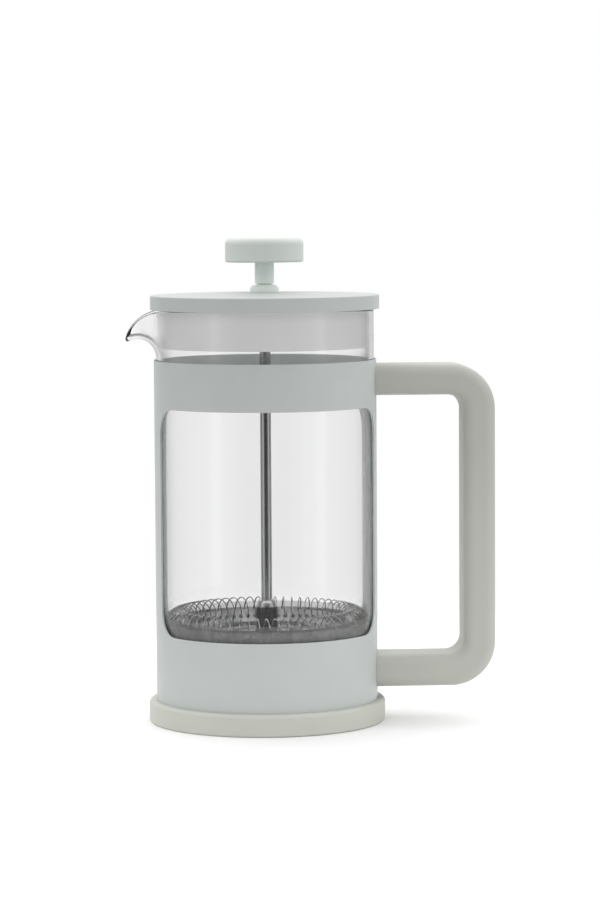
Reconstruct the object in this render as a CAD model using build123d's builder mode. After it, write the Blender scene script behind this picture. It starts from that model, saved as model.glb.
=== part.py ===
from build123d import *
import math
import os

# French press, one litre: a glass beaker in a windowed steel sleeve, with lid and plunger.
# Millimetres, +Z up. The origin is on the beaker's axis at the underside of the base.
# The handle points along +X and the spout along -X.

os.makedirs("parts", exist_ok=True)

CLOSE = 0.01  # tolerance when edges are picked out

# ---------------------------------------------------------------- driving dimensions
# Glass beaker
BEAKER_R = 49.0  # outside radius of the beaker
GLASS_WALL = 2.0
GLASS_FLOOR = 2.8
BEAKER_CORNER_R = 9.0  # outside corner between floor and wall
BEAKER_HEIGHT = 182.2

# Spout
SPOUT_REACH = 13.1  # how far the lip reaches past the wall
SPOUT_GLASS = 1.7
SPOUT_SIDE_SHARE = 0.6  # of the half width that the glass may take near the tip
SPOUT_UNDER_SHARE = 0.8  # of the height that it may take there
SPOUT_ROOT_DEPTH = 5.0  # how far the spout's solid starts inside the wall
SPOUT_ROOT_HALF_WIDTH = 20.0
SPOUT_ROOT_DROP = 25.0  # underside below the rim, at the root
# Stations from root to tip, as shares: of the reach, of the root's half width, and of the root's
# drop for the lip and for the underside
SPOUT_STATIONS = [
    (0.03, 0.70, 0.072, 0.784),
    (0.27, 0.55, 0.108, 0.592),
    (0.54, 0.43, 0.192, 0.516),
    (0.81, 0.29, 0.364, 0.52),
    (1.00, 0.10, 0.508, 0.552),
]

# Steel sleeve
SLEEVE_GAP = 0.4  # between beaker and sleeve
SLEEVE_WALL = 0.6
SLEEVE_BELOW_RIM = 22.5  # upper edge below the rim of the glass
TOP_BAND = 20.9  # solid band above the windows
LOW_BAND = 30.9  # solid band between the base and the windows
WINDOW_HALF_ANGLE = 72.5  # degrees each side of the middle of a window
WINDOW_CORNER_R = 12.0
WINDOW_CLEAR = 4.0  # how far the cutter of a window passes both faces of the wall

# Moulded base
BASE_RIM = 3.35  # how far the base stands out past the sleeve
BASE_HEIGHT = 9.9
BASE_TOP_ROUND = 1.8
BASE_BOTTOM_ROUND = 1.0
BASE_FLOOR = 3.4
FOOT_WIDTH = 7.0
PAD_R = 12.0  # flat centre pad of the underside
UNDERSIDE_RECESS = 1.6
RIB_COUNT = 8
RIB_WIDTH = 1.8
RIB_SINK = 0.5  # how far a rib's ends run into the foot ring and the pad
RIB_SHY = 0.2  # ribs end above the foot
GROOVE_FLOOR = 2.0  # where the sleeve's lower edge stands
COLLAR_WALL = 1.2  # ring inside the sleeve that carries the snap lugs
COLLAR_TOP = 7.6
SEAT_GAP = 0.05  # fit of the sleeve in the groove
LUG_COUNT = 4
LUG_WIDTH = 10.0
LUG_HEIGHT = 1.6
LUG_LOW = 4.9
LUG_REACH = 0.6
LUG_PLAY = 0.3

# Handle
HANDLE_DEPTH = 25.0  # across the grip, along Y
SADDLE_GAP = 0.05  # between the arms' hollowed ends and the sleeve
HANDLE_GAP = 38.4  # room for the fingers, from the sleeve to the grip
HANDLE_GRIP = 14.5  # thickness of the upright grip
UPPER_ARM_DROP = 9.4  # middle of the upper arm below the sleeve's upper edge
UPPER_ARM = 13.8
LOWER_ARM_LIFT = 12.5  # middle of the lower arm above the base's upper edge
LOWER_ARM = 14.6
HANDLE_OUTER_CORNER = 20.0
HANDLE_INNER_CORNER = 7.0
HANDLE_EDGE_ROUND = 4.8

# Countersunk handle screws in dimples of the sleeve, and their inserts
SCREW_R = 1.95
SCREW_HEAD_R = 3.8
SCREW_LENGTH = 11.0
SCREW_SLOT = 0.9
SCREW_FIT = 0.05
SCREW_SINK = 0.1  # head below the inside of the sleeve
INSERT_R = 3.0
INSERT_LENGTH = 9.0
INSERT_FIT = 0.02

# Lid
LID_OVERHANG = 2.45  # past the outside of the glass
LID_SHEET = 0.8
LID_RIM_HEIGHT = 6.3
LID_RIM_GAP = 0.1  # lower edge of the cap above the rim of the glass
LID_CROWN = 1.1  # rise of the top towards its centre
LID_EDGE_ROUND = 0.5
LID_LIP_ROUND = 0.3
INNER_LID_GAP = 0.15  # inner lid inside the cap
INNER_LID_SEAT = 0.05  # inner lid below the cap's crowned sheet
INNER_LID_PLATE = 1.5
SKIRT_GAP = 0.5  # skirt inside the beaker
SKIRT_WALL = 1.1
SKIRT_DEPTH = 17.0
UPSTAND_WALL = 1.4
BOSS_R = 9.0
STRAINER_SLOTS = 9
STRAINER_SPAN = 44.0  # degrees
STRAINER_TURN = 90.0  # degrees from the handle: at the back, so the lid sits closed to the spout
STRAINER_WIDTH = 1.6
STRAINER_HEIGHT = 9.5
STRAINER_LOW = 3.0  # above the skirt's lower edge

# Domed bushing that guides the rod, and its nut
DOME_R = 6.6
DOME_TOP_R = 4.3
DOME_HEIGHT = 3.4
DOME_SIDE = 0.8
NECK_R = 3.2
NECK_HEIGHT = 0.5
TAIL_R = 4.2
TAIL_BELOW_NUT = 0.6
TAIL_FIT = 0.05
NUT_FLATS = 13.0
NUT_HEIGHT = 2.6

# Plunger rod and knob
ROD_R = 2.5
ROD_FIT = 0.05  # running fit of the rod in the bushing
ROD_THREAD_R = 2.0
PRESS_GAP = 0.02  # pieces that are screwed or pressed together
FERRULE_R = 4.35
FERRULE_HEIGHT = 9.65
FERRULE_CHAMFER = 0.35
KNOB_R = 17.6
KNOB_HEIGHT = 11.0
KNOB_TOP_ROUND = 3.0
KNOB_BOTTOM_ROUND = 1.0
KNOB_INSERT_R = 4.0
KNOB_INSERT_HEIGHT = 6.5
KNOB_INSERT_START = 1.0

# Filter stack at the foot of the rod
PLATE_TOP = 40.0  # top of the spiral plate
PLATE_SHEET = 0.6
FLANGE_FOOT_INSET = 5.875  # foot of the flange inside the ring that the coil's turns run round
FLANGE_HEIGHT = 5.2
HUB_R = 4.8
HUB_HEIGHT = 13.9
HUB_SHOULDER = 2.9
MESH_SHEET = 0.3
MESH_GAP = 0.35  # rim of the mesh inside the beaker
MESH_HEIGHT = 9.0
MESH_CORNER_R = 1.2
CROSS_SHEET = 0.8
CROSS_INSET = 3.8  # edge of the cross plate inside the flange's foot
CROSS_RING = 4.0
CROSS_ARM = 7.0
CROSS_HUB_R = 8.0
FILTER_NUT_FLATS = 8.0
FILTER_NUT_HEIGHT = 4.6
FILTER_NUT_CAP = 0.8
# Slots in the spiral plate, in two rings
INNER_SLOTS = 5
OUTER_SLOTS = 8
INNER_SLOT_SPAN = 44.0  # degrees
OUTER_SLOT_SPAN = 28.0  # degrees
# Middle of the slots and their width, as shares of the flange's foot radius
SLOT_RINGS = [
    (INNER_SLOTS, INNER_SLOT_SPAN, 0.388, 0.115),
    (OUTER_SLOTS, OUTER_SLOT_SPAN, 0.69, 0.144),
]

# Coil spring laced through the flange
COIL_TURNS = 64
COIL_MINOR_R = 5.2
COIL_WIRE = 0.55
COIL_MESH_GAP = 0.2  # turns inside the mesh rim
COIL_CENTRE_HEIGHT = 5.0  # above the plate
COIL_YAW = 4.5  # degrees that a turn leans round the axis
COIL_STEPS = 8  # straight stretches in a turn
COIL_LOFT_TURNS = 8  # turns lofted in one go
LACE_ANGLE = 210.0  # where a turn passes the flange, seen along the ring
LACE_HOLE_R = 1.05

# ---------------------------------------------------------------- derived places
beaker_low = BASE_FLOOR
beaker_rim = beaker_low + BEAKER_HEIGHT
bore_r = BEAKER_R - GLASS_WALL
sleeve_in_r = BEAKER_R + SLEEVE_GAP
sleeve_r = sleeve_in_r + SLEEVE_WALL
sleeve_top = beaker_rim - SLEEVE_BELOW_RIM
window_top = sleeve_top - TOP_BAND
window_bottom = BASE_HEIGHT + LOW_BAND
base_r = sleeve_r + BASE_RIM
handle_inside_x = sleeve_r + HANDLE_GAP
upper_arm_z = sleeve_top - UPPER_ARM_DROP
lower_arm_z = BASE_HEIGHT + LOWER_ARM_LIFT
lid_r = BEAKER_R + LID_OVERHANG
lid_low = beaker_rim + LID_RIM_GAP
lid_shoulder = lid_low + LID_RIM_HEIGHT
lid_crown = lid_shoulder + LID_CROWN
inner_lid_top = lid_shoulder - LID_SHEET - INNER_LID_SEAT
crown_r = (lid_r**2 + LID_CROWN**2) / (2 * LID_CROWN)  # radius of the crowned top
plate_seat = beaker_rim  # underside of the inner lid's plate, on the glass
skirt_low = plate_seat - SKIRT_DEPTH
skirt_r = bore_r - SKIRT_GAP
neck_top = lid_crown + DOME_HEIGHT + NECK_HEIGHT
knob_low = neck_top + FERRULE_HEIGHT
mesh_r = bore_r - MESH_GAP
mesh_seat = PLATE_TOP - PLATE_SHEET
cross_top = mesh_seat - MESH_SHEET
nut_top = cross_top - CROSS_SHEET
coil_r = mesh_r - MESH_SHEET - COIL_MESH_GAP - COIL_WIRE / 2 - COIL_MINOR_R
coil_z = PLATE_TOP + COIL_CENTRE_HEIGHT
lace = math.radians(LACE_ANGLE)
lace_r = coil_r + COIL_MINOR_R * math.cos(lace)
lace_z = coil_z + COIL_MINOR_R * math.sin(lace)
flange_foot_r = coil_r - FLANGE_FOOT_INSET
flange_run = (lace_r - flange_foot_r) / (lace_z - PLATE_TOP)  # outward per unit of height
flange_top_r = flange_foot_r + FLANGE_HEIGHT * flange_run
cross_r = flange_foot_r - CROSS_INSET
arms = {"upper": upper_arm_z, "lower": lower_arm_z}
screw_head_x = sleeve_in_r - SCREW_SINK
thread_hole_r = ROD_THREAD_R + SCREW_FIT


def save(piece, name):
    """Label a finished piece and write it as one STEP file."""
    piece.part.label = name
    export_step(piece.part, f"parts/{name}.step")


# ---------------------------------------------------------------- glass beaker
def vessel_profile(radius, low, high, corner):
    """Half section of a round vessel, as a sketch on the XZ plane."""
    with BuildSketch(Plane.XZ) as section:
        with BuildLine():
            FilletPolyline((0, low), (radius, low), (radius, high), radius=corner)
            Polyline((radius, high), (0, high), (0, low))
        make_face()
    return section.sketch


def spout_section(x, half_width, lip, bottom, headroom=0.0):
    """Upright U of the spout at x, closed at the lip or at some headroom above it."""
    with BuildSketch(Plane.YZ.offset(x)) as section:
        with BuildLine():
            ThreePointArc((-half_width, lip), (0, bottom), (half_width, lip))
            if headroom:
                Polyline(
                    (half_width, lip),
                    (half_width, lip + headroom),
                    (-half_width, lip + headroom),
                    (-half_width, lip),
                )
            else:
                Line((half_width, lip), (-half_width, lip))
        make_face()
    return section.sketch.face()


spout_root_x = SPOUT_ROOT_DEPTH - BEAKER_R
root_bottom = beaker_rim - SPOUT_ROOT_DROP
spout_outside = [spout_section(spout_root_x, SPOUT_ROOT_HALF_WIDTH, beaker_rim, root_bottom)]
spout_channel = [
    spout_section(
        spout_root_x,
        SPOUT_ROOT_HALF_WIDTH - SPOUT_GLASS,
        beaker_rim,
        root_bottom + SPOUT_GLASS,
        GLASS_WALL,
    )
]
for reach_share, width_share, lip_share, under_share in SPOUT_STATIONS:
    x = -BEAKER_R - reach_share * SPOUT_REACH
    half_width = width_share * SPOUT_ROOT_HALF_WIDTH
    lip = beaker_rim - lip_share * SPOUT_ROOT_DROP
    under = beaker_rim - under_share * SPOUT_ROOT_DROP
    glass = min(SPOUT_GLASS, SPOUT_SIDE_SHARE * half_width, SPOUT_UNDER_SHARE * (lip - under))
    spout_outside.append(spout_section(x, half_width, lip, under))
    spout_channel.append(spout_section(x, half_width - glass, lip, under + glass, GLASS_WALL))

with BuildPart() as glass_beaker:
    add(vessel_profile(BEAKER_R, beaker_low, beaker_rim, BEAKER_CORNER_R))
    revolve(axis=Axis.Z)
    loft(spout_outside)
    # the room inside: the bore, then the channel of the spout
    bore_low = beaker_low + GLASS_FLOOR
    add(vessel_profile(bore_r, bore_low, beaker_rim + GLASS_WALL, BEAKER_CORNER_R - GLASS_WALL))
    revolve(axis=Axis.Z, mode=Mode.SUBTRACT)
    loft(spout_channel, mode=Mode.SUBTRACT)
save(glass_beaker, "glass_beaker")

# ---------------------------------------------------------------- steel sleeve
# the room of one window: a sector of a thick ring, with its corners rounded
window_start = -90 - WINDOW_HALF_ANGLE
with BuildPart() as window_cutter:
    with BuildSketch(Plane.XY.offset(window_bottom)):
        with BuildLine():
            outer_arc = CenterArc((0, 0), sleeve_r + WINDOW_CLEAR, window_start, 2 * WINDOW_HALF_ANGLE)
            inner_arc = CenterArc((0, 0), sleeve_in_r - WINDOW_CLEAR, window_start, 2 * WINDOW_HALF_ANGLE)
            Line(outer_arc @ 0, inner_arc @ 0)
            Line(outer_arc @ 1, inner_arc @ 1)
        make_face()
    extrude(amount=window_top - window_bottom)
    corner_edges = window_cutter.edges().filter_by(GeomType.LINE).filter_by(Axis.Z, reverse=True)
    fillet(corner_edges, WINDOW_CORNER_R)

with BuildPart() as sleeve:
    with BuildSketch(Plane.XY.offset(GROOVE_FLOOR)):
        Circle(sleeve_r)
    extrude(amount=sleeve_top - GROOVE_FLOOR)
    # dimples pressed outward round the handle screws
    dimple_x = screw_head_x + SCREW_HEAD_R - SCREW_R
    slant = SLEEVE_WALL * math.sqrt(2)
    for arm_z in arms.values():
        with BuildSketch(Plane.XZ):
            with BuildLine():
                Polyline(
                    (dimple_x + SLEEVE_WALL, arm_z),
                    (dimple_x + SLEEVE_WALL, arm_z + SCREW_R + slant - SLEEVE_WALL),
                    (screw_head_x - SCREW_HEAD_R, arm_z + 2 * SCREW_HEAD_R + slant),
                    (screw_head_x - SCREW_HEAD_R, arm_z),
                    close=True,
                )
            make_face()
        revolve(axis=Axis((0, 0, arm_z), (1, 0, 0)))
    with BuildSketch(Plane.XY.offset(GROOVE_FLOOR)):
        Circle(sleeve_in_r)
    extrude(amount=sleeve_top - GROOVE_FLOOR, mode=Mode.SUBTRACT)
    for arm_z in arms.values():
        with BuildSketch(Plane.XZ):
            with BuildLine():
                Polyline(
                    (dimple_x + 2 * SLEEVE_WALL, arm_z),
                    (dimple_x + 2 * SLEEVE_WALL, arm_z + SCREW_R + SCREW_FIT),
                    (dimple_x, arm_z + SCREW_R + SCREW_FIT),
                    (screw_head_x - SCREW_HEAD_R, arm_z + 2 * SCREW_HEAD_R + SCREW_FIT),
                    (screw_head_x - SCREW_HEAD_R, arm_z),
                    close=True,
                )
            make_face()
        revolve(axis=Axis((0, 0, arm_z), (1, 0, 0)), mode=Mode.SUBTRACT)
    # a window in front and one behind
    add(window_cutter.part, mode=Mode.SUBTRACT)
    add(window_cutter.part.mirror(Plane.XZ), mode=Mode.SUBTRACT)
    # slots for the snap lugs of the base
    with Locations((0, 0, LUG_LOW + LUG_HEIGHT / 2)):
        with PolarLocations(sleeve_in_r, LUG_COUNT, start_angle=180 / LUG_COUNT):
            Box(4 * SLEEVE_WALL, LUG_WIDTH + 2 * LUG_PLAY, LUG_HEIGHT + 2 * LUG_PLAY, mode=Mode.SUBTRACT)
save(sleeve, "sleeve")

# ---------------------------------------------------------------- base
groove_in_r = sleeve_in_r - SEAT_GAP
groove_out_r = sleeve_r + SEAT_GAP
collar_in_r = groove_in_r - COLLAR_WALL
foot_in_r = base_r - FOOT_WIDTH
with BuildPart() as base:
    with BuildSketch(Plane.XZ):
        with BuildLine():
            Polyline(
                (0, 0),
                (PAD_R, 0),
                (PAD_R, UNDERSIDE_RECESS),
                (foot_in_r, UNDERSIDE_RECESS),
                (foot_in_r, 0),
                (base_r, 0),
                (base_r, BASE_HEIGHT),
                (groove_out_r, BASE_HEIGHT),
                (groove_out_r, GROOVE_FLOOR),
                (groove_in_r, GROOVE_FLOOR),
                (groove_in_r, COLLAR_TOP),
                (collar_in_r, COLLAR_TOP),
                (collar_in_r, BASE_FLOOR),
                (0, BASE_FLOOR),
                close=True,
            )
        make_face()
    revolve(axis=Axis.Z)
    outer_rims = base.edges().filter_by(GeomType.CIRCLE).filter_by(lambda edge: edge.radius > base_r - CLOSE)
    fillet(outer_rims.sort_by(Axis.Z)[-1], BASE_TOP_ROUND)
    fillet(outer_rims.sort_by(Axis.Z)[0], BASE_BOTTOM_ROUND)
    # stiffening ribs in the recess of the underside
    rib_length = foot_in_r - PAD_R + 2 * RIB_SINK
    with Locations((0, 0, UNDERSIDE_RECESS / 2 + RIB_SHY)):
        with PolarLocations((foot_in_r + PAD_R) / 2, RIB_COUNT):
            Box(rib_length, RIB_WIDTH, UNDERSIDE_RECESS)
    # lugs that snap into the sleeve's slots
    with BuildPart(mode=Mode.PRIVATE) as lug:
        with BuildSketch(Plane.XZ):
            with BuildLine():
                Polyline(
                    (groove_in_r - COLLAR_WALL / 2, LUG_LOW),
                    (groove_in_r + LUG_REACH, LUG_LOW),
                    (groove_in_r, LUG_LOW + LUG_HEIGHT),
                    (groove_in_r - COLLAR_WALL / 2, LUG_LOW + LUG_HEIGHT),
                    close=True,
                )
            make_face()
        extrude(amount=LUG_WIDTH / 2, both=True)
    with PolarLocations(0, LUG_COUNT, start_angle=180 / LUG_COUNT):
        add(lug.part)
save(base, "base")

# ---------------------------------------------------------------- handle, screws and inserts
with BuildPart() as handle:
    handle_top = upper_arm_z + UPPER_ARM / 2
    handle_low = lower_arm_z - LOWER_ARM / 2
    gap_top = upper_arm_z - UPPER_ARM / 2
    gap_low = lower_arm_z + LOWER_ARM / 2
    handle_out_x = handle_inside_x + HANDLE_GRIP
    arm_root_x = math.sqrt(sleeve_r**2 - (HANDLE_DEPTH / 2) ** 2)  # where the saddle's sides end
    with BuildSketch(Plane.XZ):
        with BuildLine():
            FilletPolyline(
                (arm_root_x, handle_top),
                (handle_out_x, handle_top),
                (handle_out_x, handle_low),
                (arm_root_x, handle_low),
                radius=HANDLE_OUTER_CORNER,
            )
            Line((arm_root_x, handle_low), (arm_root_x, gap_low))
            FilletPolyline(
                (arm_root_x, gap_low),
                (handle_inside_x, gap_low),
                (handle_inside_x, gap_top),
                (arm_root_x, gap_top),
                radius=HANDLE_INNER_CORNER,
            )
            Line((arm_root_x, gap_top), (arm_root_x, handle_top))
        make_face()
    extrude(amount=HANDLE_DEPTH / 2, both=True)
    long_edges = handle.edges().filter_by(lambda edge: edge.center().X > arm_root_x + CLOSE).filter_by(
        lambda edge: abs(abs(edge.center().Y) - HANDLE_DEPTH / 2) < CLOSE
    )
    fillet(long_edges, HANDLE_EDGE_ROUND)
    # the ends of the arms are saddled on the sleeve
    with BuildSketch(Plane.XY):
        Circle(sleeve_r + SADDLE_GAP)
    extrude(amount=sleeve_top, mode=Mode.SUBTRACT)
    # each end is hollowed for the sleeve's dimple and bored for a screw insert
    insert_x = dimple_x + SLEEVE_WALL + SCREW_FIT
    hollow_r = SCREW_R + slant + insert_x - arm_root_x
    for arm_z in arms.values():
        with Locations(Location((arm_root_x, 0, arm_z), (0, 90, 0))):
            Cone(
                hollow_r + SCREW_FIT,
                INSERT_R + INSERT_FIT,
                insert_x - arm_root_x,
                align=(Align.CENTER, Align.CENTER, Align.MIN),
                mode=Mode.SUBTRACT,
            )
            Cylinder(
                INSERT_R + INSERT_FIT,
                insert_x - arm_root_x + INSERT_LENGTH + INSERT_FIT,
                align=(Align.CENTER, Align.CENTER, Align.MIN),
                mode=Mode.SUBTRACT,
            )
save(handle, "handle")

for arm_name, arm_z in arms.items():
    with BuildPart() as screw:
        with BuildSketch(Plane.XZ):
            with BuildLine():
                Polyline(
                    (screw_head_x, arm_z),
                    (screw_head_x, arm_z + SCREW_HEAD_R),
                    (dimple_x, arm_z + SCREW_R),
                    (screw_head_x + SCREW_LENGTH, arm_z + SCREW_R),
                    (screw_head_x + SCREW_LENGTH, arm_z),
                    close=True,
                )
            make_face()
        revolve(axis=Axis((0, 0, arm_z), (1, 0, 0)))
        for turn in (0, 90):
            with Locations(Location((screw_head_x, 0, arm_z), (turn, 0, 0))):
                Box(2 * SCREW_SLOT, SCREW_HEAD_R, SCREW_SLOT, mode=Mode.SUBTRACT)
    save(screw, f"handle_screw_{arm_name}")

    with BuildPart() as insert:
        with Locations(Location((insert_x, 0, arm_z), (0, 90, 0))):
            Cylinder(INSERT_R, INSERT_LENGTH, align=(Align.CENTER, Align.CENTER, Align.MIN))
            Cylinder(
                SCREW_R + SCREW_FIT,
                INSERT_LENGTH,
                align=(Align.CENTER, Align.CENTER, Align.MIN),
                mode=Mode.SUBTRACT,
            )
    save(insert, f"handle_insert_{arm_name}")

# ---------------------------------------------------------------- lid
cap_in_r = lid_r - LID_SHEET
hole_r = TAIL_R + TAIL_FIT
def crown_z(radius, depth=0.0):
    """Height of the lid's crowned sheet at a radius, at some depth below its top."""
    return lid_crown - crown_r + math.sqrt((crown_r - depth) ** 2 - radius**2)


with BuildPart() as lid_cap:
    middle_r = (lid_r + hole_r) / 2
    with BuildSketch(Plane.XZ) as cap_section:
        with BuildLine():
            ThreePointArc(
                (hole_r, crown_z(hole_r)),
                (middle_r, crown_z(middle_r)),
                (lid_r, crown_z(lid_r)),
            )
            Polyline(
                (lid_r, crown_z(lid_r)),
                (lid_r, lid_low),
                (cap_in_r, lid_low),
                (cap_in_r, crown_z(cap_in_r, LID_SHEET)),
            )
            ThreePointArc(
                (cap_in_r, crown_z(cap_in_r, LID_SHEET)),
                (middle_r, crown_z(middle_r, LID_SHEET)),
                (hole_r, crown_z(hole_r, LID_SHEET)),
            )
            Line((hole_r, crown_z(hole_r, LID_SHEET)), (hole_r, crown_z(hole_r)))
        make_face()
        outer_corners = cap_section.vertices().group_by(Axis.X)[-1].sort_by(Axis.Y)
        fillet(outer_corners[-1], LID_EDGE_ROUND)
        fillet(outer_corners[0], LID_LIP_ROUND)
    revolve(axis=Axis.Z)
save(lid_cap, "lid_cap")

inner_lid_r = cap_in_r - INNER_LID_GAP
boss_top = crown_z(BOSS_R, LID_SHEET) - INNER_LID_SEAT
with BuildPart() as inner_lid:
    with BuildSketch(Plane.XZ):
        with BuildLine():
            Polyline(
                (hole_r, plate_seat),
                (skirt_r - SKIRT_WALL, plate_seat),
                (skirt_r - SKIRT_WALL, skirt_low),
                (skirt_r, skirt_low),
                (skirt_r, plate_seat),
                (inner_lid_r, plate_seat),
                (inner_lid_r, inner_lid_top),
                (inner_lid_r - UPSTAND_WALL, inner_lid_top),
                (inner_lid_r - UPSTAND_WALL, plate_seat + INNER_LID_PLATE),
                (BOSS_R, plate_seat + INNER_LID_PLATE),
                (BOSS_R, boss_top),
                (hole_r, boss_top),
                close=True,
            )
        make_face()
    revolve(axis=Axis.Z)
    # the strainer: upright slots in the skirt, turned away from the spout
    with Locations((0, 0, skirt_low + STRAINER_LOW + STRAINER_HEIGHT / 2)):
        with PolarLocations(
            skirt_r,
            STRAINER_SLOTS,
            start_angle=STRAINER_TURN - STRAINER_SPAN / 2,
            angular_range=STRAINER_SPAN,
            endpoint=True,
        ):
            Box(4 * SKIRT_WALL, STRAINER_WIDTH, STRAINER_HEIGHT, mode=Mode.SUBTRACT)
save(inner_lid, "inner_lid")

tail_low = plate_seat - NUT_HEIGHT - TAIL_BELOW_NUT
bushing_bore_r = ROD_R + ROD_FIT
with BuildPart() as rod_bushing:
    with BuildSketch(Plane.XZ):
        with BuildLine():
            Polyline(
                (bushing_bore_r, neck_top),
                (bushing_bore_r, tail_low),
                (TAIL_R, tail_low),
                (TAIL_R, lid_crown),
                (DOME_R, lid_crown),
                (DOME_R, lid_crown + DOME_SIDE),
            )
            ThreePointArc(
                (DOME_R, lid_crown + DOME_SIDE),
                (
                    DOME_TOP_R + (DOME_R - DOME_TOP_R) * math.cos(math.radians(45)),
                    lid_crown + DOME_SIDE + (DOME_HEIGHT - DOME_SIDE) * math.sin(math.radians(45)),
                ),
                (DOME_TOP_R, lid_crown + DOME_HEIGHT),
            )
            Polyline(
                (DOME_TOP_R, lid_crown + DOME_HEIGHT),
                (NECK_R, lid_crown + DOME_HEIGHT),
                (NECK_R, neck_top),
                (bushing_bore_r, neck_top),
            )
        make_face()
    revolve(axis=Axis.Z)
save(rod_bushing, "rod_bushing")

with BuildPart() as lid_nut:
    with BuildSketch(Plane.XY.offset(plate_seat - NUT_HEIGHT)):
        RegularPolygon(NUT_FLATS / 2, 6, major_radius=False)
        Circle(TAIL_R + PRESS_GAP, mode=Mode.SUBTRACT)
    extrude(amount=NUT_HEIGHT)
save(lid_nut, "lid_nut")

# ---------------------------------------------------------------- knob, ferrule and rod
insert_low = knob_low + KNOB_INSERT_START
rod_shoulder = insert_low
rod_low = nut_top - FILTER_NUT_HEIGHT + FILTER_NUT_CAP
with BuildPart() as rod:
    with BuildSketch(Plane.XZ):
        with BuildLine():
            Polyline(
                (0, rod_low),
                (ROD_THREAD_R, rod_low),
                (ROD_THREAD_R, PLATE_TOP),
                (ROD_R, PLATE_TOP),
                (ROD_R, rod_shoulder),
                (ROD_THREAD_R, rod_shoulder),
                (ROD_THREAD_R, insert_low + KNOB_INSERT_HEIGHT),
                (0, insert_low + KNOB_INSERT_HEIGHT),
                close=True,
            )
        make_face()
    revolve(axis=Axis.Z)
save(rod, "rod")

with BuildPart() as ferrule:
    with BuildSketch(Plane.XY.offset(neck_top)):
        Circle(FERRULE_R)
    extrude(amount=FERRULE_HEIGHT)
    chamfer(ferrule.edges().sort_by(Axis.Z)[0], FERRULE_CHAMFER)
    with BuildSketch(Plane.XY.offset(neck_top)):
        Circle(ROD_R + PRESS_GAP)
    extrude(amount=FERRULE_HEIGHT, mode=Mode.SUBTRACT)
save(ferrule, "ferrule")

with BuildPart() as knob:
    with BuildSketch(Plane.XY.offset(knob_low)):
        Circle(KNOB_R)
    extrude(amount=KNOB_HEIGHT)
    fillet(knob.edges().sort_by(Axis.Z)[-1], KNOB_TOP_ROUND)
    fillet(knob.edges().sort_by(Axis.Z)[0], KNOB_BOTTOM_ROUND)
    with BuildSketch(Plane.XY.offset(knob_low)):
        Circle(ROD_R + PRESS_GAP)
    extrude(amount=KNOB_INSERT_START, mode=Mode.SUBTRACT)
    with BuildSketch(Plane.XY.offset(insert_low)):
        Circle(KNOB_INSERT_R + PRESS_GAP)
    extrude(amount=KNOB_INSERT_HEIGHT, mode=Mode.SUBTRACT)
save(knob, "knob")

with BuildPart() as knob_insert:
    with BuildSketch(Plane.XY.offset(insert_low)):
        Circle(KNOB_INSERT_R)
        Circle(thread_hole_r, mode=Mode.SUBTRACT)
    extrude(amount=KNOB_INSERT_HEIGHT)
save(knob_insert, "knob_insert")

# ---------------------------------------------------------------- filter stack
with BuildPart() as rod_hub:
    with BuildSketch(Plane.XZ):
        hub_in_r = ROD_R + PRESS_GAP
        hub_top = PLATE_TOP + HUB_HEIGHT
        with BuildLine():
            Polyline(
                (hub_in_r, hub_top),
                (hub_in_r, PLATE_TOP),
                (HUB_R, PLATE_TOP),
                (HUB_R, hub_top - HUB_SHOULDER),
            )
            EllipticalCenterArc(
                (hub_in_r, hub_top - HUB_SHOULDER),
                HUB_R - hub_in_r,
                HUB_SHOULDER,
                start_angle=0,
                arc_size=90,
            )
        make_face()
    revolve(axis=Axis.Z)
save(rod_hub, "rod_hub")

with BuildPart() as spiral_plate:
    with BuildSketch(Plane.XZ):
        sheet_x = PLATE_SHEET * math.sqrt(1 + flange_run**2)  # sheet measured across the slope
        with BuildLine():
            Polyline(
                (thread_hole_r, mesh_seat),
                (flange_foot_r + sheet_x - PLATE_SHEET * flange_run, mesh_seat),
                (flange_top_r + sheet_x, PLATE_TOP + FLANGE_HEIGHT),
                (flange_top_r, PLATE_TOP + FLANGE_HEIGHT),
                (flange_foot_r, PLATE_TOP),
                (thread_hole_r, PLATE_TOP),
                close=True,
            )
        make_face()
    revolve(axis=Axis.Z)
    for slot_count, slot_angle, radius_share, width_share in SLOT_RINGS:
        slot_arc = CenterArc(
            (0, 0), radius_share * flange_foot_r, -slot_angle / 2, slot_angle, mode=Mode.PRIVATE
        )
        with BuildSketch(Plane.XY.offset(mesh_seat)):
            with PolarLocations(0, slot_count):
                SlotArc(slot_arc, width_share * flange_foot_r)
        extrude(amount=PLATE_SHEET, mode=Mode.SUBTRACT)
    # lacing holes, each square to the flange
    tilt = math.degrees(math.atan(flange_run))
    with PolarLocations(0, COIL_TURNS):
        with Locations(Location((lace_r, 0, lace_z), (0, 90 + tilt, 0))):
            Cylinder(LACE_HOLE_R, 4 * PLATE_SHEET, mode=Mode.SUBTRACT)
save(spiral_plate, "spiral_plate")

with BuildPart() as mesh_filter:
    mesh_top = cross_top + MESH_HEIGHT
    with BuildSketch(Plane.XZ):
        with BuildLine():
            FilletPolyline(
                (thread_hole_r, cross_top), (mesh_r, cross_top), (mesh_r, mesh_top), radius=MESH_CORNER_R
            )
            Line((mesh_r, mesh_top), (mesh_r - MESH_SHEET, mesh_top))
            FilletPolyline(
                (mesh_r - MESH_SHEET, mesh_top),
                (mesh_r - MESH_SHEET, mesh_seat),
                (thread_hole_r, mesh_seat),
                radius=MESH_CORNER_R - MESH_SHEET,
            )
            Line((thread_hole_r, mesh_seat), (thread_hole_r, cross_top))
        make_face()
    revolve(axis=Axis.Z)
save(mesh_filter, "mesh_filter")

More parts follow.
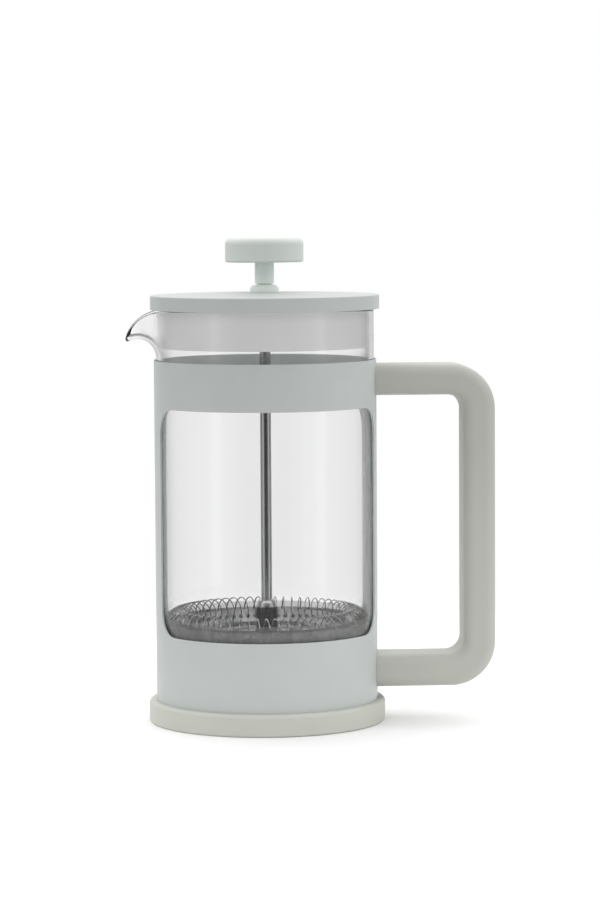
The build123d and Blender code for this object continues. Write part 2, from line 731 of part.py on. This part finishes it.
with BuildPart() as cross_plate:
    with BuildSketch(Plane.XY.offset(nut_top)):
        Circle(cross_r)
        Circle(cross_r - CROSS_RING, mode=Mode.SUBTRACT)
        Rectangle(2 * cross_r - CROSS_RING, CROSS_ARM)
        Rectangle(CROSS_ARM, 2 * cross_r - CROSS_RING)
        Circle(CROSS_HUB_R)
        Circle(thread_hole_r, mode=Mode.SUBTRACT)
    extrude(amount=CROSS_SHEET)
save(cross_plate, "cross_plate")

with BuildPart() as filter_nut:
    with BuildSketch(Plane.XY.offset(nut_top - FILTER_NUT_HEIGHT)):
        RegularPolygon(FILTER_NUT_FLATS / 2, 6, major_radius=False)
    extrude(amount=FILTER_NUT_HEIGHT)
    with BuildSketch(Plane.XY.offset(rod_low)):
        Circle(thread_hole_r)
    extrude(amount=FILTER_NUT_HEIGHT - FILTER_NUT_CAP, mode=Mode.SUBTRACT)
save(filter_nut, "filter_nut")

# ---------------------------------------------------------------- coil spring
def coil_point(turn):
    """Centre of the wire after so many turns, counted from a lacing hole."""
    poloidal = lace - 2 * math.pi * turn
    lean = math.tan(math.radians(COIL_YAW)) * COIL_MINOR_R
    shift = lean * (math.cos(poloidal) - math.cos(lace)) / coil_r
    around = 2 * math.pi * turn / COIL_TURNS + shift
    radius = coil_r + COIL_MINOR_R * math.cos(poloidal)
    return Vector(
        radius * math.cos(around),
        radius * math.sin(around),
        coil_z + COIL_MINOR_R * math.sin(poloidal),
    )


def wire_section(step):
    """Square section of the wire after so many straight stretches."""
    turn = step / COIL_STEPS
    nudge = 1 / (4 * COIL_STEPS)
    centre = coil_point(turn)
    along = coil_point(turn + nudge) - coil_point(turn - nudge)
    ring_centre = Vector(centre.X, centre.Y, 0).normalized() * coil_r + Vector(0, 0, coil_z)
    with BuildSketch(Plane(origin=centre, x_dir=centre - ring_centre, z_dir=along)) as section:
        Rectangle(COIL_WIRE, COIL_WIRE)
    return section.sketch.face()


# the two ends of the wire stay half a turn apart
last_step = (COIL_TURNS - 1) * COIL_STEPS + COIL_STEPS // 2
loft_steps = COIL_LOFT_TURNS * COIL_STEPS
with BuildPart() as coil_spring:
    for first in range(0, last_step, loft_steps):
        steps = range(first, min(first + loft_steps, last_step) + 1)
        loft([wire_section(step) for step in steps], ruled=True)
save(coil_spring, "coil_spring")
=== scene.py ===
import math

import bmesh
import bpy
from mathutils import Matrix, Vector


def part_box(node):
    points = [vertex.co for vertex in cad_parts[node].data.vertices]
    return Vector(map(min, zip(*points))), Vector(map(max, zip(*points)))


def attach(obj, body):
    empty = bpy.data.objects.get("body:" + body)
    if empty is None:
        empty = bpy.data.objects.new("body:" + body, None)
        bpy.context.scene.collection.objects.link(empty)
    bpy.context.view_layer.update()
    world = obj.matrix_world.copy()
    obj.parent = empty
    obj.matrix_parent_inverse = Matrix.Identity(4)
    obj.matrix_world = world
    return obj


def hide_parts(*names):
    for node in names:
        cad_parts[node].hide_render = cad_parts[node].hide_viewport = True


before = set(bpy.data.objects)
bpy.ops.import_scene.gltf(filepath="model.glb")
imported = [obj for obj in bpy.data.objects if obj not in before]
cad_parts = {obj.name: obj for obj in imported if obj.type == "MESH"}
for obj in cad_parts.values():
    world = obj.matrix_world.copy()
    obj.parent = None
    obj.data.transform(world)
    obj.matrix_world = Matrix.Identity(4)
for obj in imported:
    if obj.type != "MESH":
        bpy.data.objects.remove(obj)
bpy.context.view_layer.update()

# French press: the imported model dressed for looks. Metres, +Z up, the beaker's axis at the origin,
# the handle along +X and the spout along -X.

scene = bpy.context.scene
MM = 0.001
AXIS_UP = Vector((0, 0, 1))

# ---------------------------------------------------------------- places taken from the frame
beaker_low, beaker_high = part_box("glass_beaker")
coil_low, coil_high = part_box("coil_spring")
hub_low, hub_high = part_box("rod_hub")
rod_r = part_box("rod")[1].x
mesh_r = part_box("mesh_filter")[1].x

beaker_r = beaker_high.y
rim_z = beaker_high.z
glass_wall = 2.0 * MM
glass_floor = 2.8 * MM
bore_r = beaker_r - glass_wall

# ---------------------------------------------------------------- colours and small sizes
MINT = (0.52, 0.552, 0.541)
OFF_WHITE = (0.485, 0.494, 0.45)
# the base is the handle's off-white plastic made paler: painted light for the bounce off the table
BASE_OFF_WHITE_PAINTED_LIGHT = (0.545, 0.555, 0.505)
KNOB_GREY = (0.668, 0.708, 0.67)
# paler than the mint: partly the ferrule's and dome's own pale colour, partly painted light filling the
# shade under the knob
FERRULE_GREY_AND_PAINTED_LIGHT = (0.84, 0.89, 0.85)
SKIRT_GREY = (0.8, 0.8, 0.8)
STEEL = (0.58, 0.58, 0.58)
WIRE_GREY = (0.5, 0.5, 0.5)
MESH_GREY = (0.52, 0.52, 0.52)
BRASS = (0.78, 0.6, 0.3)
GLASS_DEPTH_TINT = (0.72, 0.76, 0.75, 1)

WEAVE_PITCH = 0.45 * MM
RIM_WIRES = 652  # upright wires round the rim of the mesh
HEM_Z = 45.3 * MM  # the mesh is doubled below this height
OPEN_WIRE = 0.075  # half a wire's width, as a share of the pitch
DENSE_WIRE = 0.24
SOFT_EDGE = 0.1 * MM  # a change of finish takes this much to each side of its line
HUB_LINE = 51.3 * MM  # below this height the hub's colour is painted shade, dark for the dark filter inside that it reflects
SLEEVE_MID = 49.6 * MM  # radius between the sleeve's inside face and its outside


# ---------------------------------------------------------------- materials
def finish(name, **sockets):
    """A principled material. Socket names are given with _ for a space."""
    material = bpy.data.materials.new(name)
    material.use_nodes = True
    surface = material.node_tree.nodes["Principled BSDF"]
    for socket, value in sockets.items():
        surface.inputs[socket.replace("_", " ")].default_value = value
    return material


def put_node(tree, kind, **settings):
    """Adds a node. A setting is one of its own properties or else one of its sockets."""
    node = tree.nodes.new(kind)
    for key, value in settings.items():
        if hasattr(node, key):
            setattr(node, key, value)
        else:
            node.inputs[key.replace("_", " ")].default_value = value
    return node


def feed(tree, socket, source):
    """Gives a socket either a plain number or another node's output."""
    if isinstance(source, (int, float)):
        socket.default_value = source
    else:
        tree.links.new(source, socket)


def ease(tree, source, start, end, low, high):
    """A smooth change from low to high while the source goes from start to end."""
    change = put_node(
        tree,
        "ShaderNodeMapRange",
        interpolation_type="SMOOTHSTEP",
        From_Min=start,
        From_Max=end,
        To_Min=low,
        To_Max=high,
    )
    tree.links.new(source, change.inputs["Value"])
    return change.outputs["Result"]


def combine(tree, operation, first, second):
    """Two values worked together, such as MULTIPLY or GREATER_THAN."""
    worked = put_node(tree, "ShaderNodeMath", operation=operation)
    feed(tree, worked.inputs[0], first)
    feed(tree, worked.inputs[1], second)
    return worked.outputs["Value"]


def add_up(tree, first, *others):
    total = first
    for other in others:
        total = combine(tree, "ADD", total, other)
    return total


def crossfade(tree, share, first, second):
    """The first value where share is 0, and the second where it is 1."""
    mix = put_node(tree, "ShaderNodeMix", data_type="FLOAT")
    feed(tree, mix.inputs["Factor"], share)
    feed(tree, mix.inputs["A"], first)
    feed(tree, mix.inputs["B"], second)
    return mix.outputs["Result"]


def object_noise(material, size, detail=2.0, stretch=(1, 1, 1)):
    """Noise whose features are about that size, in metres."""
    link = material.node_tree.links.new
    place = put_node(material.node_tree, "ShaderNodeTexCoord")
    turn = put_node(material.node_tree, "ShaderNodeMapping", Scale=stretch)
    noise = put_node(material.node_tree, "ShaderNodeTexNoise", Scale=1 / size, Detail=detail)
    link(place.outputs["Object"], turn.inputs["Vector"])
    link(turn.outputs["Vector"], noise.inputs["Vector"])
    return noise.outputs["Fac"]


def vary(material, source, socket, low, high):
    """Drives a socket of the surface between two values or colours by a texture."""
    surface = material.node_tree.nodes["Principled BSDF"]
    link = material.node_tree.links.new
    if isinstance(low, tuple):
        ramp = put_node(material.node_tree, "ShaderNodeValToRGB")
        ramp.color_ramp.elements[0].position = 0.3
        ramp.color_ramp.elements[1].position = 0.7
        ramp.color_ramp.elements[0].color = (*low, 1)
        ramp.color_ramp.elements[1].color = (*high, 1)
        link(source, ramp.inputs["Fac"])
        link(ramp.outputs["Color"], surface.inputs[socket])
    else:
        spread = put_node(material.node_tree, "ShaderNodeMapRange", To_Min=low, To_Max=high)
        link(source, spread.inputs["Value"])
        link(spread.outputs["Result"], surface.inputs[socket])


def emboss(material, source, depth):
    """Bump of that depth, in metres."""
    surface = material.node_tree.nodes["Principled BSDF"]
    link = material.node_tree.links.new
    bump = put_node(material.node_tree, "ShaderNodeBump", Distance=depth, Strength=1.0)
    link(source, bump.inputs["Height"])
    link(bump.outputs["Normal"], surface.inputs["Normal"])


def scaled(colour, share):
    return tuple(channel * share for channel in colour)


def tone_on_tone(material, size, colour):
    """Hardly visible changes of the colour, in patches of about that size."""
    patches = object_noise(material, size)
    vary(material, patches, "Base Color", scaled(colour, 0.985), scaled(colour, 1.015))


def powder_coat(name, colour, roughness):
    """Satin powder coat on sheet steel, with a faint orange peel."""
    material = finish(name, Specular_IOR_Level=0.35, Base_Color=(*colour, 1))
    tone_on_tone(material, 18 * MM, colour)
    vary(material, object_noise(material, 4 * MM), "Roughness", roughness - 0.03, roughness + 0.03)
    emboss(material, object_noise(material, 0.9 * MM, detail=3), 0.012 * MM)
    return material


def moulded(name, colour, roughness):
    """Moulded plastic with a fine matt spark texture."""
    material = finish(name, Specular_IOR_Level=0.35, Base_Color=(*colour, 1))
    tone_on_tone(material, 25 * MM, colour)
    vary(material, object_noise(material, 6 * MM), "Roughness", roughness - 0.04, roughness + 0.04)
    emboss(material, object_noise(material, 0.35 * MM, detail=4), 0.01 * MM)
    return material


def drawn_steel(name, colour, roughness, stretch=(1, 1, 1)):
    """Stainless steel with a fine grain, stretched along the way it was drawn or turned."""
    material = finish(name, Metallic=1.0, Base_Color=(*colour, 1))
    grain = object_noise(material, 1.2 * MM, detail=4, stretch=stretch)
    vary(material, grain, "Base Color", scaled(colour, 0.9), scaled(colour, 1.06))
    vary(material, grain, "Roughness", roughness - 0.05, roughness + 0.07)
    emboss(material, grain, 0.004 * MM)
    return material


def place_on_piece(tree):
    """Where a point of the surface is: its x, y and height, and its distance from the axis."""
    place = put_node(tree, "ShaderNodeTexCoord")
    split = put_node(tree, "ShaderNodeSeparateXYZ")
    flat = put_node(tree, "ShaderNodeCombineXYZ")
    radius = put_node(tree, "ShaderNodeVectorMath", operation="LENGTH")
    tree.links.new(place.outputs["Object"], split.inputs["Vector"])
    tree.links.new(split.outputs["X"], flat.inputs["X"])
    tree.links.new(split.outputs["Y"], flat.inputs["Y"])
    tree.links.new(flat.outputs["Vector"], radius.inputs[0])
    return split.outputs["X"], split.outputs["Y"], split.outputs["Z"], radius.outputs["Value"]


def recolour(material, share, colour):
    """Lays another colour over the material's own, where share is 1."""
    tree = material.node_tree
    base = tree.nodes["Principled BSDF"].inputs["Base Color"]
    over = put_node(tree, "ShaderNodeMix", data_type="RGBA")
    tree.links.new(base.links[0].from_socket, over.inputs["A"])
    over.inputs["B"].default_value = (*colour, 1)
    tree.links.new(share, over.inputs["Factor"])
    tree.links.new(over.outputs["Result"], base)


def steel_painted_dark_below(name):
    """Steel with painted shade on its foot: below the hub's line its colour is dark, for the dark filter
    inside that the hub reflects; above it, the plain steel colour.
    """
    material = drawn_steel(name, scaled(STEEL, 0.17), 0.24, (1, 1, 0.05))
    tree = material.node_tree
    height = place_on_piece(tree)[2]
    # painted shade: the foot's dark colour stands for the dark interior reflected in it
    recolour(material, ease(tree, height, HUB_LINE - SOFT_EDGE, HUB_LINE + SOFT_EDGE, 0.0, 1.0), STEEL)
    return material


def sleeve_coat_painted_light_inside(name):
    """The mint powder coat, with painted light on the sleeve's inside face: it is made paler to make up
    for the light that the glass and the narrow gap keep from it.
    """
    material = powder_coat(name, MINT, 0.42)
    tree = material.node_tree
    radius = place_on_piece(tree)[3]
    inside = ease(tree, radius, SLEEVE_MID - SOFT_EDGE, SLEEVE_MID + SOFT_EDGE, 1.0, 0.0)
    # painted light: the inside face is lightened, standing in for light that does not reach it
    recolour(material, inside, scaled(MINT, 1.5))
    return material


def woven_cloth(name, colour):
    """Fine woven steel: open between its wires, and denser where the cloth is doubled low down."""
    material = finish(name, Metallic=1.0, Roughness=0.65, Base_Color=(*colour, 1))
    tree = material.node_tree
    x, y, z, radius = place_on_piece(tree)
    on_rim = combine(tree, "GREATER_THAN", radius, mesh_r - 1.0 * MM)
    around = combine(tree, "MULTIPLY", combine(tree, "ARCTAN2", y, x), RIM_WIRES / (2 * math.pi))
    wire_half = ease(tree, z, HEM_Z - SOFT_EDGE, HEM_Z + SOFT_EDGE, DENSE_WIRE, OPEN_WIRE)
    x_wires, y_wires, z_wires = (combine(tree, "DIVIDE", way, WEAVE_PITCH) for way in (x, y, z))
    warp = combine(tree, "PINGPONG", crossfade(tree, on_rim, x_wires, around), 0.5)
    weft = combine(tree, "PINGPONG", crossfade(tree, on_rim, y_wires, z_wires), 0.5)
    warp = combine(tree, "LESS_THAN", warp, wire_half)
    weft = combine(tree, "LESS_THAN", weft, wire_half)
    covered = combine(tree, "MAXIMUM", warp, weft)
    tree.links.new(covered, tree.nodes["Principled BSDF"].inputs["Alpha"])
    cloudy = object_noise(material, 3 * MM, detail=3)
    vary(material, cloudy, "Base Color", scaled(colour, 0.8), scaled(colour, 1.2))
    return material


def blown_glass(name):
    """Clear glass that takes a little light in its depth, with painted shade where it is looked along:
    its edges are darkened, standing for the dark surroundings they bend light from.
    """
    material = finish(name, Roughness=0.0, IOR=1.47, Transmission_Weight=1.0)
    tree = material.node_tree
    depth = put_node(tree, "ShaderNodeVolumeAbsorption", Density=12.0, Color=GLASS_DEPTH_TINT)
    tree.links.new(depth.outputs["Volume"], tree.nodes["Material Output"].inputs["Volume"])
    facing = put_node(tree, "ShaderNodeLayerWeight").outputs["Facing"]
    # painted shade: the glass darkens towards its edges as the view grazes it
    painted_dark_edge = ease(tree, facing, 0.5, 0.9, 1.0, 0.2)
    tree.links.new(painted_dark_edge, tree.nodes["Principled BSDF"].inputs["Base Color"])
    return material


mint_paint = powder_coat("mint_paint", MINT, 0.42)
ferrule_paint = powder_coat("ferrule_paint", FERRULE_GREY_AND_PAINTED_LIGHT, 0.4)
sleeve_paint = sleeve_coat_painted_light_inside("sleeve_paint")
offwhite_plastic = moulded("offwhite_plastic", OFF_WHITE, 0.5)
base_plastic = moulded("base_plastic", BASE_OFF_WHITE_PAINTED_LIGHT, 0.5)
knob_plastic = moulded("knob_plastic", KNOB_GREY, 0.5)
grey_plastic = moulded("grey_plastic", SKIRT_GREY, 0.35)
rod_steel = drawn_steel("rod_steel", STEEL, 0.14, (1, 1, 0.02))
hub_steel = steel_painted_dark_below("hub_steel")
sheet_steel = drawn_steel("sheet_steel", STEEL, 0.3)
# the plate's steel is darkened: painted shade for the dim floor inside the filter
plate_steel = drawn_steel("plate_steel", scaled(STEEL, 0.8), 0.3)
wire_steel = drawn_steel("wire_steel", WIRE_GREY, 0.2)
mesh_steel = woven_cloth("mesh_steel", MESH_GREY)
brass = drawn_steel("brass", BRASS, 0.3)
clear_glass = blown_glass("clear_glass")

node_finish = {
    "sleeve": sleeve_paint,
    "lid_cap": mint_paint,
    "rod_bushing": ferrule_paint,
    "base": base_plastic,
    "handle": offwhite_plastic,
    "knob": knob_plastic,
    "ferrule": ferrule_paint,
    "inner_lid": grey_plastic,
    "rod": rod_steel,
    "rod_hub": hub_steel,
    "lid_nut": sheet_steel,
    "spiral_plate": plate_steel,
    "cross_plate": sheet_steel,
    "filter_nut": sheet_steel,
    "handle_screw_upper": sheet_steel,
    "handle_screw_lower": sheet_steel,
    "coil_spring": wire_steel,
    "mesh_filter": mesh_steel,
    "knob_insert": brass,
    "handle_insert_upper": brass,
    "handle_insert_lower": brass,
    "glass_beaker": clear_glass,
}
for node_name, material in node_finish.items():
    for material_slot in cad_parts[node_name].material_slots:
        material_slot.material = material


# ---------------------------------------------------------------- making pieces
def piece(name, shape, material, body, slot, *nodes):
    """Turns a finished bmesh into a smooth piece that rides on a body and stands for nodes."""
    bmesh.ops.remove_doubles(shape, verts=shape.verts[:], dist=1e-7)
    bmesh.ops.recalc_face_normals(shape, faces=shape.faces[:])
    for face in shape.faces:
        face.smooth = True
    mesh = bpy.data.meshes.new(name)
    shape.to_mesh(mesh)
    shape.free()
    mesh.materials.append(material)
    made = bpy.data.objects.new(name, mesh)
    scene.collection.objects.link(made)
    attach(made, body)
    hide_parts(*nodes)


def half_profile(corners, rounds, closed=False):
    """A wire of (radius, height) corners in the XZ plane. rounds gives a corner's radius by its index."""
    wire = bmesh.new()
    points = [wire.verts.new((radius, 0, height)) for radius, height in corners]
    for first, second in zip(points, points[1:]):
        wire.edges.new((first, second))
    if closed:
        wire.edges.new((points[-1], points[0]))
    for index, radius in rounds.items():
        bmesh.ops.bevel(
            wire,
            geom=[points[index]],
            offset=radius,
            offset_type="OFFSET",
            segments=8,
            profile=0.5,
            affect="VERTICES",
            material=-1,
        )
    return wire


def spin_round(wire, steps):
    """Turns a half profile into a closed surface round the axis."""
    bmesh.ops.spin(
        wire,
        geom=wire.verts[:] + wire.edges[:],
        cent=(0, 0, 0),
        axis=AXIS_UP,
        angle=2 * math.pi,
        steps=steps,
        use_merge=True,
    )
    bmesh.ops.remove_doubles(wire, verts=wire.verts[:], dist=1e-7)


# ---------------------------------------------------------------- glass beaker
SPOUT_ROOT_DEPTH = 21.2 * MM  # the spout starts this far below the rim
SPOUT_STRIP = 17.9 * MM  # length of the middle of the spout, from its root to the tip
SPOUT_BEND_R = 8.2 * MM  # bend of the middle of the spout
SPOUT_SPREAD = math.radians(10.5)  # how fast the bend dies away to each side
SPOUT_DIP = 0.1  # how much lower the lip runs between the tip and the rim
SPOUT_ROWS = 26  # cuts in the height of the wall that bends
BEAKER_FOOT_R = 9 * MM
BEAKER_BOWL_R = 7 * MM
RIM_ROUND = 0.9 * MM
BEAKER_STEPS = 240
spout_root_z = rim_z - SPOUT_ROOT_DEPTH


def bend_spout(beaker):
    """Bends the upper wall outward round -X, most in the middle of the spout."""
    for vert in beaker.verts:
        rise = vert.co.z - spout_root_z
        if rise <= 0:
            continue
        side = math.atan2(vert.co.y, -vert.co.x)
        share = math.exp(-((side / SPOUT_SPREAD) ** 2))
        if share < 1e-4:
            continue
        radius = math.hypot(vert.co.x, vert.co.y)
        dip = SPOUT_DIP * share * (1 - share)
        reach = rise * (1 + share * (SPOUT_STRIP / SPOUT_ROOT_DEPTH - 1) - dip)
        turn = share * reach / SPOUT_BEND_R
        bend = SPOUT_BEND_R / share
        inward = radius - beaker_r
        new_radius = beaker_r + bend * (1 - math.cos(turn)) + inward * math.cos(turn)
        new_z = spout_root_z + bend * math.sin(turn) - inward * math.sin(turn)
        vert.co = Vector((vert.co.x * new_radius / radius, vert.co.y * new_radius / radius, new_z))


def make_beaker():
    """A blown wall with a round foot and a fire-polished rim, bent out into the spout."""
    low = beaker_low.z + 0.05 * MM
    corners = [
        (0, low),
        (beaker_r, low),
        (beaker_r, spout_root_z),
        (beaker_r, rim_z),
        (bore_r, rim_z),
        (bore_r, spout_root_z),
        (bore_r, low + glass_floor),
        (0, low + glass_floor),
    ]
    wall = half_profile(corners, {1: BEAKER_FOOT_R, 3: RIM_ROUND, 4: RIM_ROUND, 6: BEAKER_BOWL_R})
    upright = [
        edge
        for edge in wall.edges
        if min(v.co.z for v in edge.verts) > spout_root_z - 1e-6 and edge.calc_length() > 5 * MM
    ]
    bmesh.ops.subdivide_edges(wall, edges=upright, cuts=SPOUT_ROWS)
    spin_round(wall, BEAKER_STEPS)
    bend_spout(wall)
    piece("beaker_glass", wall, clear_glass, "beaker", "clear_glass", "glass_beaker")


make_beaker()

# ---------------------------------------------------------------- coil spring
COIL_TURNS = 64
COIL_GAP = 0.5  # the turn that is left open between the coil's ends
COIL_MINOR_R = 5.3 * MM
COIL_WIRE_R = 0.31 * MM
COIL_YAW = math.radians(6.5)  # how far each turn leans round the ring
LACE_ANGLE = math.radians(210)  # where on its turn the wire starts
COIL_STEPS = 20  # straight stretches in a turn
WIRE_SIDES = 6


def make_coil():
    """A straight coil turned with a pitch, leaned and then bent round into a ring."""
    ring_r = coil_high.x - COIL_MINOR_R - COIL_WIRE_R
    centre_z = coil_low.z + COIL_MINOR_R + COIL_WIRE_R
    pitch = 2 * math.pi * ring_r / COIL_TURNS
    turns = COIL_TURNS - COIL_GAP
    start = Vector((0, math.cos(LACE_ANGLE), math.sin(LACE_ANGLE))) * COIL_MINOR_R
    coil = bmesh.new()
    end = bmesh.ops.create_circle(coil, cap_ends=True, radius=COIL_WIRE_R, segments=WIRE_SIDES)
    along = Vector((pitch / (2 * math.pi * COIL_MINOR_R), math.sin(LACE_ANGLE), -math.cos(LACE_ANGLE)))
    face_along = along.to_track_quat("Z", "Y").to_matrix().to_4x4()
    bmesh.ops.transform(coil, matrix=Matrix.Translation(start) @ face_along, verts=end["verts"])
    bmesh.ops.spin(
        coil,
        geom=coil.verts[:] + coil.edges[:] + coil.faces[:],
        cent=(0, 0, 0),
        axis=(1, 0, 0),
        dvec=(pitch / COIL_STEPS, 0, 0),
        angle=-2 * math.pi * turns,
        steps=int(turns * COIL_STEPS),
    )
    for vert in coil.verts:
        x, y, z = vert.co
        around = (x + math.tan(COIL_YAW) * (y - start.y)) / ring_r
        radius = ring_r + y
        vert.co = (radius * math.cos(around), radius * math.sin(around), centre_z + z)
    piece("coil_wire", coil, wire_steel, "plunger", "spring_wire", "coil_spring")


make_coil()

# ---------------------------------------------------------------- rod hub
HUB_TOP = 0.8 * MM  # the domed top's extra height over the plain hub
HUB_SHOULDER = 3.4 * MM  # height of the domed top
HUB_STEPS = 96


def make_hub():
    """A turned hub with a domed top that closes round the rod."""
    top = hub_high.z + HUB_TOP
    corners = [
        (rod_r, hub_low.z),
        (hub_high.x, hub_low.z),
        (hub_high.x, top - HUB_SHOULDER),
        (hub_high.x * 0.86, top - HUB_SHOULDER * 0.3),
        (rod_r * 1.3, top),
        (rod_r, top),
    ]
    turned = half_profile(corners, {1: 0.2 * MM, 2: 0.8 * MM, 3: 0.7 * MM, 4: 0.2 * MM}, closed=True)
    spin_round(turned, HUB_STEPS)
    piece("hub_turned", turned, hub_steel, "plunger", "steel", "rod_hub")


make_hub()

# ---------------------------------------------------------------- studio
WHITE_ENOUGH = 0.92  # the back wall and the table top
BOTH_WALLS = 3.5  # a ray through both walls of the beaker has crossed more surfaces of glass than this
EDGE_TABLE = 0.15  # the table top as the edge of the glass shows it
TABLE_R = 0.5
TABLE_FADE = 0.2  # the table top starts to fade this far from its middle


def soft_light(tree, right, back, up):
    """What pale surfaces get: a ring round the front, and a softbox above and behind."""
    ring = ease(tree, back, -1.0, -0.4, 0.37, 1.14)
    behind = ease(tree, back, -0.2, 0.4, 0.0, -0.7)
    below = ease(tree, up, -0.35, -0.02, -0.5, 0.0)
    left = ease(tree, right, -0.95, -0.35, -0.06, 0.0)
    fill = ease(tree, right, 0.3, 0.9, 0.0, 0.12)
    softbox = ease(tree, up, 0.15, 0.4, 0.0, 1.82)
    softbox = combine(tree, "MULTIPLY", softbox, ease(tree, up, 0.8, 1.0, 1.0, 0.6))
    softbox = combine(tree, "MULTIPLY", softbox, ease(tree, back, 0.0, 0.6, 0.15, 1.0))
    return add_up(tree, ring, behind, below, softbox, left, fill)


def mirrored_room(tree, back, up):
    """What shiny surfaces and the glass see: a white back wall, grey sides, a pale ceiling, and a dark
    front between two tall soft lights."""
    wall = ease(tree, back, 0.66, 0.88, 0.4, WHITE_ENOUGH)
    front = ease(tree, back, -0.95, -0.7, -0.34, 0.0)
    strip_inner = ease(tree, back, -0.7, -0.52, 0.0, 0.6)
    strip_outer = ease(tree, back, -0.52, -0.34, 0.0, -0.6)
    ceiling = ease(tree, up, 0.35, 0.8, 0.0, 0.8)
    return add_up(tree, wall, front, strip_inner, strip_outer, ceiling)


def make_world():
    """White for the camera, soft light for pale surfaces, and a room for shiny ones and the glass."""
    world = bpy.data.worlds.new("studio")
    scene.world = world
    world.use_nodes = True
    tree = world.node_tree
    tree.nodes.clear()
    way = put_node(tree, "ShaderNodeTexCoord")
    split = put_node(tree, "ShaderNodeSeparateXYZ")
    tree.links.new(way.outputs["Generated"], split.inputs["Vector"])
    right, back, up = (split.outputs[name] for name in "XYZ")
    path = put_node(tree, "ShaderNodeLightPath").outputs
    in_glass = path["Is Transmission Ray"]
    surfaces = path["Transmission Depth"]
    not_mirrored = combine(tree, "LESS_THAN", path["Glossy Depth"], 0.5)

    # through both walls of the beaker it is plain white, from every side
    straight = combine(tree, "GREATER_THAN", surfaces, BOTH_WALLS)
    straight = combine(tree, "MULTIPLY", straight, in_glass)
    straight = combine(tree, "MULTIPLY", straight, not_mirrored)
    seen = crossfade(tree, straight, mirrored_room(tree, back, up), WHITE_ENOUGH)

    # the edges of the glass, which are crossed once, show a dark floor and a paler front
    edge = combine(tree, "SUBTRACT", in_glass, straight)
    edge = combine(tree, "MULTIPLY", edge, not_mirrored)
    dark_floor = ease(tree, up, -0.5, -0.05, -0.3, 0.0)
    paler_front = ease(tree, back, -0.95, -0.7, 0.14, 0.0)
    edge = combine(tree, "MULTIPLY", edge, combine(tree, "ADD", dark_floor, paler_front))
    seen = combine(tree, "ADD", seen, edge)

    shiny = combine(tree, "MAXIMUM", path["Is Glossy Ray"], in_glass)
    shiny = combine(tree, "SUBTRACT", shiny, path["Diffuse Depth"])
    shiny = combine(tree, "MAXIMUM", shiny, 0.0)
    level = crossfade(tree, shiny, soft_light(tree, right, back, up), seen)

    # light that comes in through the glass to a matt surface makes up for what each pane takes
    indoors = combine(tree, "MINIMUM", path["Diffuse Depth"], 1.0)
    indoors = combine(tree, "MULTIPLY", indoors, in_glass)
    level = crossfade(tree, indoors, level, ease(tree, surfaces, 3.0, 9.0, 1.1, 3.6))

    level = crossfade(tree, path["Is Camera Ray"], level, 1.0)
    room = put_node(tree, "ShaderNodeBackground")
    room.inputs["Color"].default_value = (1, 1, 1, 1)
    tree.links.new(level, room.inputs["Strength"])
    out = put_node(tree, "ShaderNodeOutputWorld")
    tree.links.new(room.outputs["Background"], out.inputs["Surface"])


def make_table():
    """A pale round table top whose edge fades away. Light bounces off it greyer on the spout's side,
    and the edges of the glass show it dark."""
    disc = bmesh.new()
    bmesh.ops.create_circle(disc, cap_ends=True, radius=TABLE_R, segments=96)
    mesh = bpy.data.meshes.new("studio_floor")
    disc.to_mesh(mesh)
    disc.free()
    table = bpy.data.objects.new("studio_floor", mesh)
    scene.collection.objects.link(table)
    pale = finish("pale_floor", Roughness=0.9, Specular_IOR_Level=0.0)
    tree = pale.node_tree
    surface = tree.nodes["Principled BSDF"]
    x, _, _, radius = place_on_piece(tree)
    fade = ease(tree, radius, TABLE_FADE, TABLE_R * 0.98, 1.0, 0.0)
    tree.links.new(fade, surface.inputs["Alpha"])
    path = put_node(tree, "ShaderNodeLightPath").outputs
    greyer = ease(tree, x, -0.15, -0.03, 0.62, WHITE_ENOUGH)
    tone = crossfade(tree, path["Is Camera Ray"], greyer, WHITE_ENOUGH)
    edge = combine(tree, "LESS_THAN", path["Transmission Depth"], BOTH_WALLS)
    edge = combine(tree, "MULTIPLY", edge, path["Is Transmission Ray"])
    tree.links.new(crossfade(tree, edge, tone, EDGE_TABLE), surface.inputs["Base Color"])
    mesh.materials.append(pale)


def make_camera():
    lens = bpy.data.cameras.new("camera")
    lens.lens = 128.5
    lens.sensor_width = 36
    lens.clip_start = 0.01
    lens.clip_end = 60
    camera = bpy.data.objects.new("camera", lens)
    scene.collection.objects.link(camera)
    place = Matrix.Translation((-72.65 * MM, -1441.13 * MM, 236.54 * MM))
    turn = Matrix.Rotation(math.radians(-3.5), 4, "Z")
    tilt = Matrix.Rotation(math.radians(90 - 4.54), 4, "X")
    roll = Matrix.Rotation(math.radians(-0.37), 4, "Z")
    camera.matrix_world = place @ turn @ tilt @ roll
    scene.camera = camera


make_world()
make_table()
make_camera()
scene.view_settings.view_transform = "Standard"
